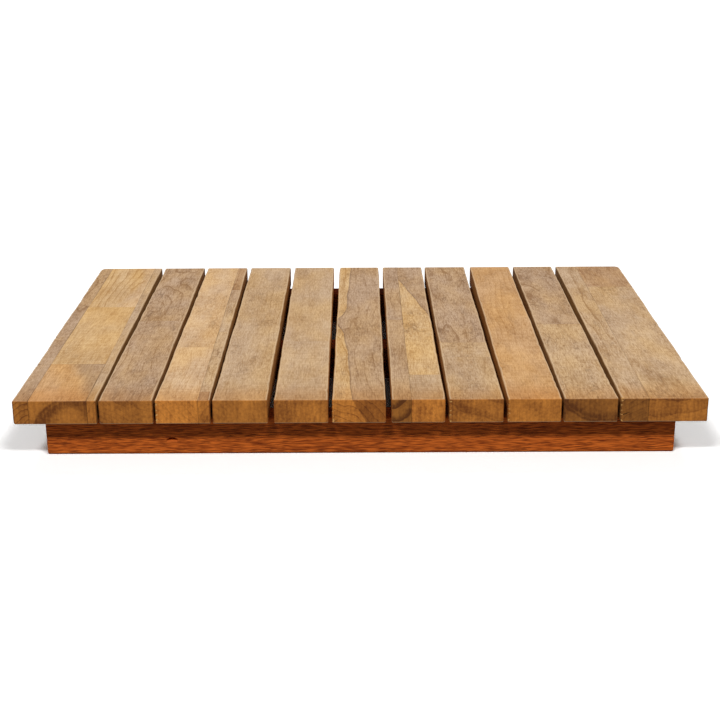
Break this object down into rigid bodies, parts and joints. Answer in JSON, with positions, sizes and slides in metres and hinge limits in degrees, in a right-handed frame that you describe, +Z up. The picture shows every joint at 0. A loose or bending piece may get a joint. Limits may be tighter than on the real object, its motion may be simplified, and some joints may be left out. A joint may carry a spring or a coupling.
{
  "type": "wooden slatted bath mat",
  "caption": "Low rectangular duckboard of flat teak slats, each glued up from strips, screwed from below to reddish hardwood cross rails.",
  "frame": {"origin": "on the floor under the middle of the mat: the centre of the bounding box's base", "axes": "+X across the slats, along the rails, from the left slat to the right slat; +Y along the slats, from the front edge to the back edge; +Z up"},
  "size_m": [0.6234, 0.457, 0.056],
  "materials": {
    "teak_tan": "sanded bare teak, light tan, fine straight grain, satin",
    "teak_golden": "sanded bare teak, golden, satin",
    "teak_grey": "sanded bare teak, grey-brown with dark mineral flecks, satin",
    "rail_hardwood": "planed reddish-brown hardwood, open streaky pores, satin",
    "screw_steel": "plain stainless steel, satin"
  },
  "bodies": {
    "root": {"back_rail": "rail_hardwood", "back_rail_screws": "screw_steel", "front_rail": "rail_hardwood", "front_rail_screws": "screw_steel", "middle_rail": "rail_hardwood", "middle_rail_screws": "screw_steel", "slat_01_board_1": "teak_golden", "slat_01_board_2": "teak_golden", "slat_01_board_3": "teak_golden", "slat_01_left_strip_1": "teak_grey", "slat_01_left_strip_2": "teak_grey", "slat_01_left_strip_3": "teak_grey", "slat_01_right_strip": "teak_tan", "slat_02_board_1": "teak_grey", "slat_02_board_2": "teak_grey", "slat_03_board_1": "teak_golden", "slat_03_board_2": "teak_golden", "slat_03_right_strip_1": "teak_grey", "slat_03_right_strip_2": "teak_grey", "slat_03_right_strip_3": "teak_grey", "slat_03_right_strip_4": "teak_grey", "slat_03_right_strip_5": "teak_grey", "slat_04_board": "teak_tan", "slat_05_board_1": "teak_tan", "slat_05_board_2": "teak_tan", "slat_06_board": "teak_tan", "slat_07_board_1": "teak_tan", "slat_07_board_2": "teak_golden", "slat_07_board_3": "teak_tan", "slat_07_left_strip_1": "teak_grey", "slat_07_left_strip_2": "teak_grey", "slat_08_board_1": "teak_grey", "slat_08_board_2": "teak_grey", "slat_08_board_3": "teak_grey", "slat_09_board": "teak_golden", "slat_10_board_1": "teak_grey", "slat_10_board_2": "teak_grey", "slat_11_board_1": "teak_tan", "slat_11_board_2": "teak_tan", "slat_11_left_strip": "teak_tan"}
  },
  "joints": []
}
